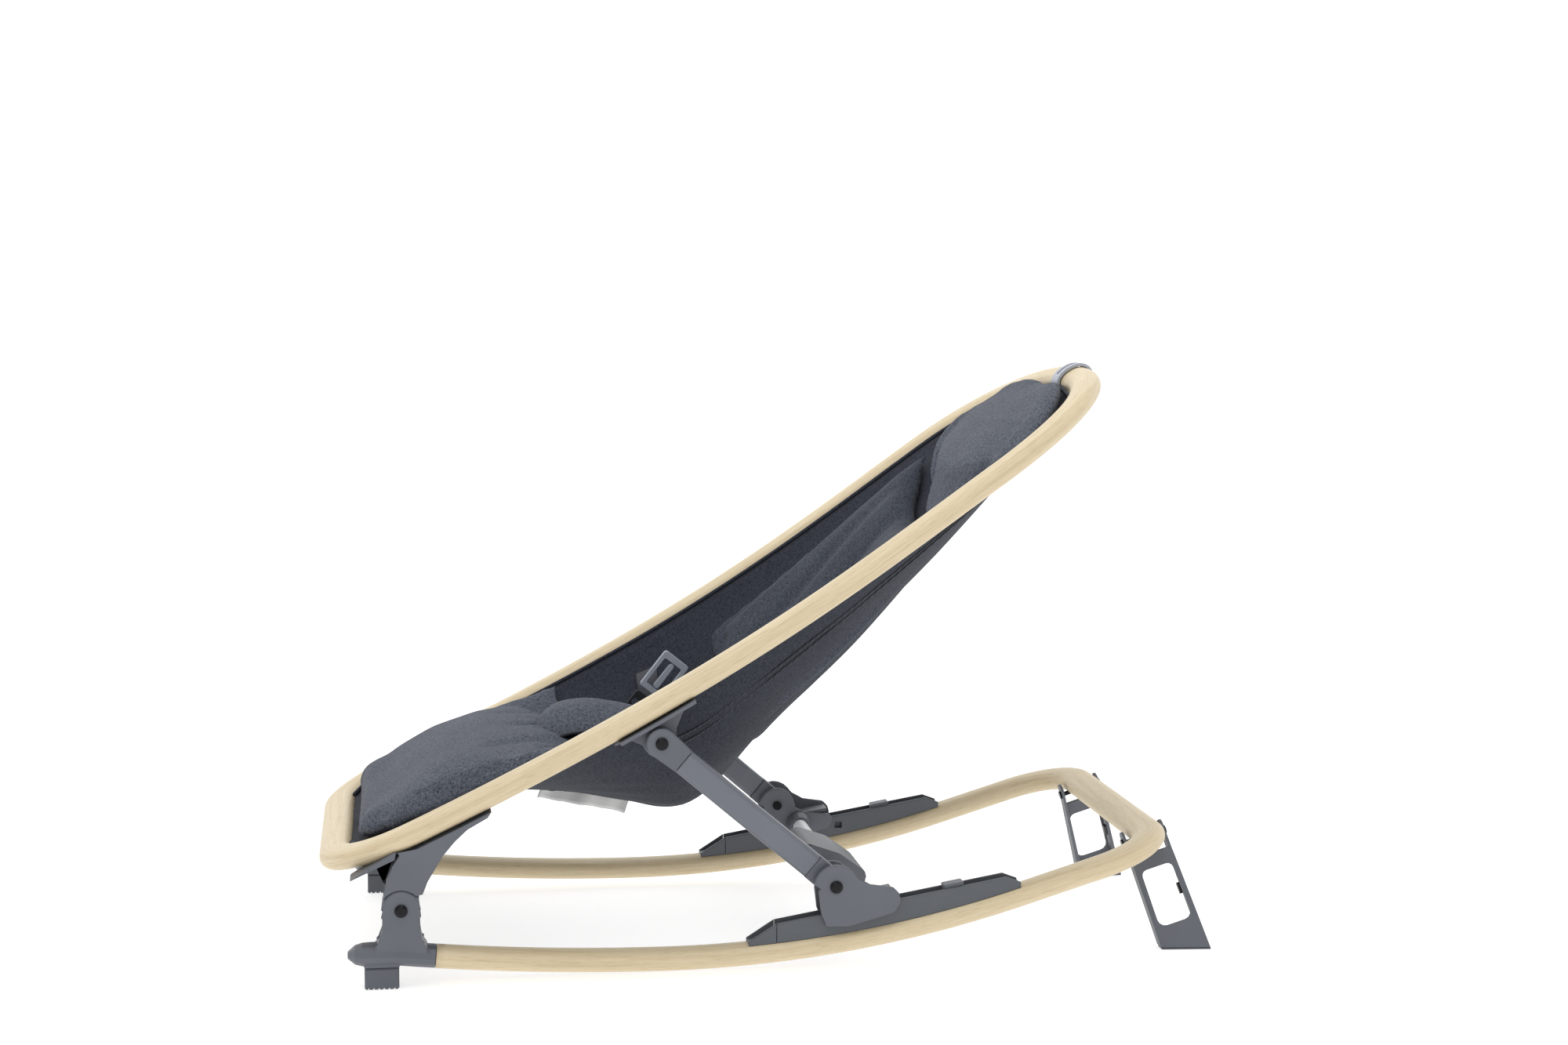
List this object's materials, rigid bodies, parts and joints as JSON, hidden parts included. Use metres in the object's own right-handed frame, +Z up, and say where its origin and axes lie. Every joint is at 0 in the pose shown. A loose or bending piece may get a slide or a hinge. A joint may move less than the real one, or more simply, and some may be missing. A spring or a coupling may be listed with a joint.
{
  "type": "infant bouncer seat",
  "caption": "Infant bouncer seat: bent-wood seat loop over a rocker base, folding struts on sliding shoes, rear stands, and a padded charcoal sling with a waist belt.",
  "frame": {"origin": "middle of the bounding box, on the floor", "axes": "+X from the foot end to the head end, +Y across from the left side to the right side of a child looking out over the foot end, +Z up"},
  "size_m": [0.9079, 0.4626, 0.5993],
  "materials": {
    "wood": "pale oak, satin, grain along the tube",
    "grey_plastic": "fine-textured mid grey",
    "strut_grey": "satin grey coat",
    "light_tube": "light grey satin",
    "light_plastic": "light blue-grey, smooth",
    "black": "black, domed, glossy",
    "fabric": "charcoal melange weave",
    "pad": "charcoal melange weave, padded",
    "webbing": "dark woven webbing",
    "label": "white satin label, blank",
    "rubber": "dark grey rubber"
  },
  "bodies": {
    "base": {"base_frame": "wood", "end_cap_left": "grey_plastic", "end_cap_right": "grey_plastic", "foot_left": "rubber", "foot_right": "rubber", "track_left": "grey_plastic", "track_right": "grey_plastic", "track_end_left": "grey_plastic", "track_end_right": "grey_plastic", "hinge_bolt_left": "black", "hinge_bolt_right": "black", "stand_pin_left": "black", "stand_pin_right": "black"},
    "seat": {"seat_frame": "wood", "leg_bracket_left": "grey_plastic", "leg_bracket_right": "grey_plastic", "strut_bracket_left": "grey_plastic", "strut_bracket_right": "grey_plastic", "strut_bolt_left": "black", "strut_bolt_right": "black", "head_clip": "light_plastic", "sling": "fabric", "leg_pad": "pad", "body_pad": "pad", "head_pillow": "pad", "crotch_flap": "pad", "waist_belt_left": "webbing", "waist_belt_right": "webbing", "care_label": "label", "buckle_frame": "light_plastic", "buckle_tongue": "light_plastic", "belt_slider": "light_plastic"},
    "strut_left": {"strut_tube_left": "strut_grey", "strut_lug_left": "grey_plastic", "strut_foot_left": "grey_plastic"},
    "strut_right": {"strut_tube_right": "strut_grey", "strut_lug_right": "grey_plastic", "strut_foot_right": "grey_plastic"},
    "carriage": {"shoe_outer_left": "grey_plastic", "shoe_outer_right": "grey_plastic", "shoe_inner_left": "grey_plastic", "shoe_inner_right": "grey_plastic", "shoe_bolt_left": "black", "shoe_bolt_right": "black", "cross_tube": "light_tube", "grip_upper": "grey_plastic", "grip_lower": "grey_plastic"},
    "trigger": {"release_trigger": "black"},
    "button": {"release_button": "black"},
    "lock_pin_left": {"lock_pin_left": "black"},
    "lock_pin_right": {"lock_pin_right": "black"},
    "fold_stop_left": {"fold_stop_left": "grey_plastic"},
    "fold_stop_right": {"fold_stop_right": "grey_plastic"},
    "stand_left": {"stand_left": "grey_plastic", "stand_pad_left": "rubber", "stand_clip_left": "black"},
    "stand_right": {"stand_right": "grey_plastic", "stand_pad_right": "rubber", "stand_clip_right": "black"}
  },
  "joints": [
    {"name": "seat_fold", "type": "hinge", "parent": "base", "child": "seat", "pos_m": [-0.37371, 0, 0.078], "axis": [0, 1, 0], "range_deg": [0, 22], "deforming": ["sling", "leg_pad", "body_pad", "head_pillow", "crotch_flap", "waist_belt_left", "waist_belt_right", "care_label"]},
    {"name": "strut_left_turn", "type": "hinge", "parent": "seat", "child": "strut_left", "pos_m": [-0.11851, -0.21, 0.2359], "axis": [0, 1, 0], "range_deg": [-57.41, 0]},
    {"name": "strut_right_turn", "type": "hinge", "parent": "seat", "child": "strut_right", "pos_m": [-0.11851, 0.21, 0.2359], "axis": [0, 1, 0], "range_deg": [-57.41, 0]},
    {"name": "carriage_turn", "type": "hinge", "parent": "strut_left", "child": "carriage", "pos_m": [0.05439, -0.21, 0.0883], "axis": [0, 1, 0], "range_deg": [0, 35.41]},
    {"name": "trigger_squeeze", "type": "slide", "parent": "carriage", "child": "trigger", "axis": [0.4695, 0, 0.8829], "range_m": [0, 0.0035], "stiffness_N_per_m": 600, "springref_m": -0.001},
    {"name": "button_press", "type": "slide", "parent": "carriage", "child": "button", "axis": [0.4695, 0, 0.8829], "range_m": [0, 0.0025], "stiffness_N_per_m": 400, "springref_m": -0.001},
    {"name": "lock_pin_left_slide", "type": "slide", "parent": "carriage", "child": "lock_pin_left", "axis": [0, 1, 0], "range_m": [0, 0.0036]},
    {"name": "lock_pin_right_slide", "type": "slide", "parent": "carriage", "child": "lock_pin_right", "axis": [0, -1, 0], "range_m": [0, 0.0036]},
    {"name": "fold_stop_left_press", "type": "slide", "parent": "base", "child": "fold_stop_left", "axis": [0, 0, -1], "range_m": [0, 0.0035], "stiffness_N_per_m": 400, "springref_m": -0.001},
    {"name": "fold_stop_right_press", "type": "slide", "parent": "base", "child": "fold_stop_right", "axis": [0, 0, -1], "range_m": [0, 0.0035], "stiffness_N_per_m": 400, "springref_m": -0.001},
    {"name": "stand_left_fold", "type": "hinge", "parent": "base", "child": "stand_left", "pos_m": [0.39439, -0.1335, 0.1097], "axis": [0.9553, 0, 0.2957], "range_deg": [0, 100]},
    {"name": "stand_right_fold", "type": "hinge", "parent": "base", "child": "stand_right", "pos_m": [0.39439, 0.1335, 0.1097], "axis": [-0.9553, 0, -0.2957], "range_deg": [0, 100]}
  ],
  "couplings": [
    {"joint": "strut_left_turn", "follows": "seat_fold", "ratio": -2.605},
    {"joint": "strut_right_turn", "follows": "seat_fold", "ratio": -2.605},
    {"joint": "carriage_turn", "follows": "seat_fold", "ratio": 1.605},
    {"joint": "lock_pin_left_slide", "follows": "trigger_squeeze", "ratio": 1},
    {"joint": "lock_pin_right_slide", "follows": "trigger_squeeze", "ratio": 1}
  ]
}
